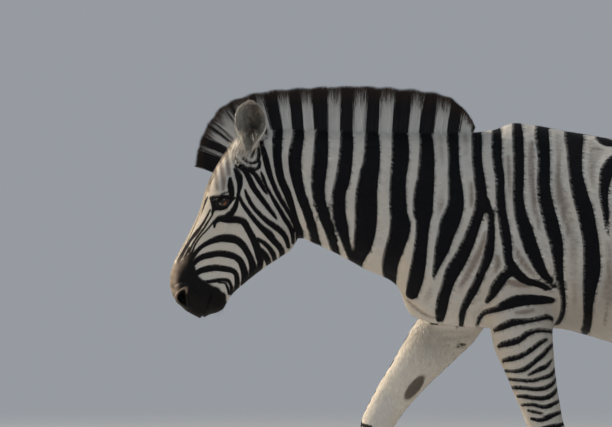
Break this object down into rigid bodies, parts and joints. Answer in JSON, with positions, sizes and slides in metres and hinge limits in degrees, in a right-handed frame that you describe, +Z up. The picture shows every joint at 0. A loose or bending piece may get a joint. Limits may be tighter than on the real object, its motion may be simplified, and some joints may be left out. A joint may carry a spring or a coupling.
{
  "type": "plains zebra model",
  "caption": "Life-size standing zebra in a slow walking stance, head lowered, with striped coat, upright mane and tufted tail.",
  "frame": {"origin": "centre of the footprint of the box round the whole animal, on the floor under the hooves", "axes": "+X from head to tail, +Y from its left side to its right side, +Z up"},
  "size_m": [2.0908, 0.5018, 1.418],
  "materials": {
    "coat": "short striped hair",
    "long_hair": "stiff upright hair",
    "hoof": "dull dark horn",
    "eye": "wet glossy"
  },
  "bodies": {
    "root": {"head": "coat", "neck": "coat", "trunk": "coat", "eye_left": "eye", "ear_left": "coat", "eye_right": "eye", "ear_right": "coat", "mane": "long_hair", "foreleg_left": "coat", "forehoof_left": "hoof", "foreleg_right": "coat", "forehoof_right": "hoof", "hindleg_left": "coat", "hindhoof_left": "hoof", "hindleg_right": "coat", "hindhoof_right": "hoof", "tail_dock": "coat", "tail_tuft": "long_hair"}
  },
  "joints": []
}
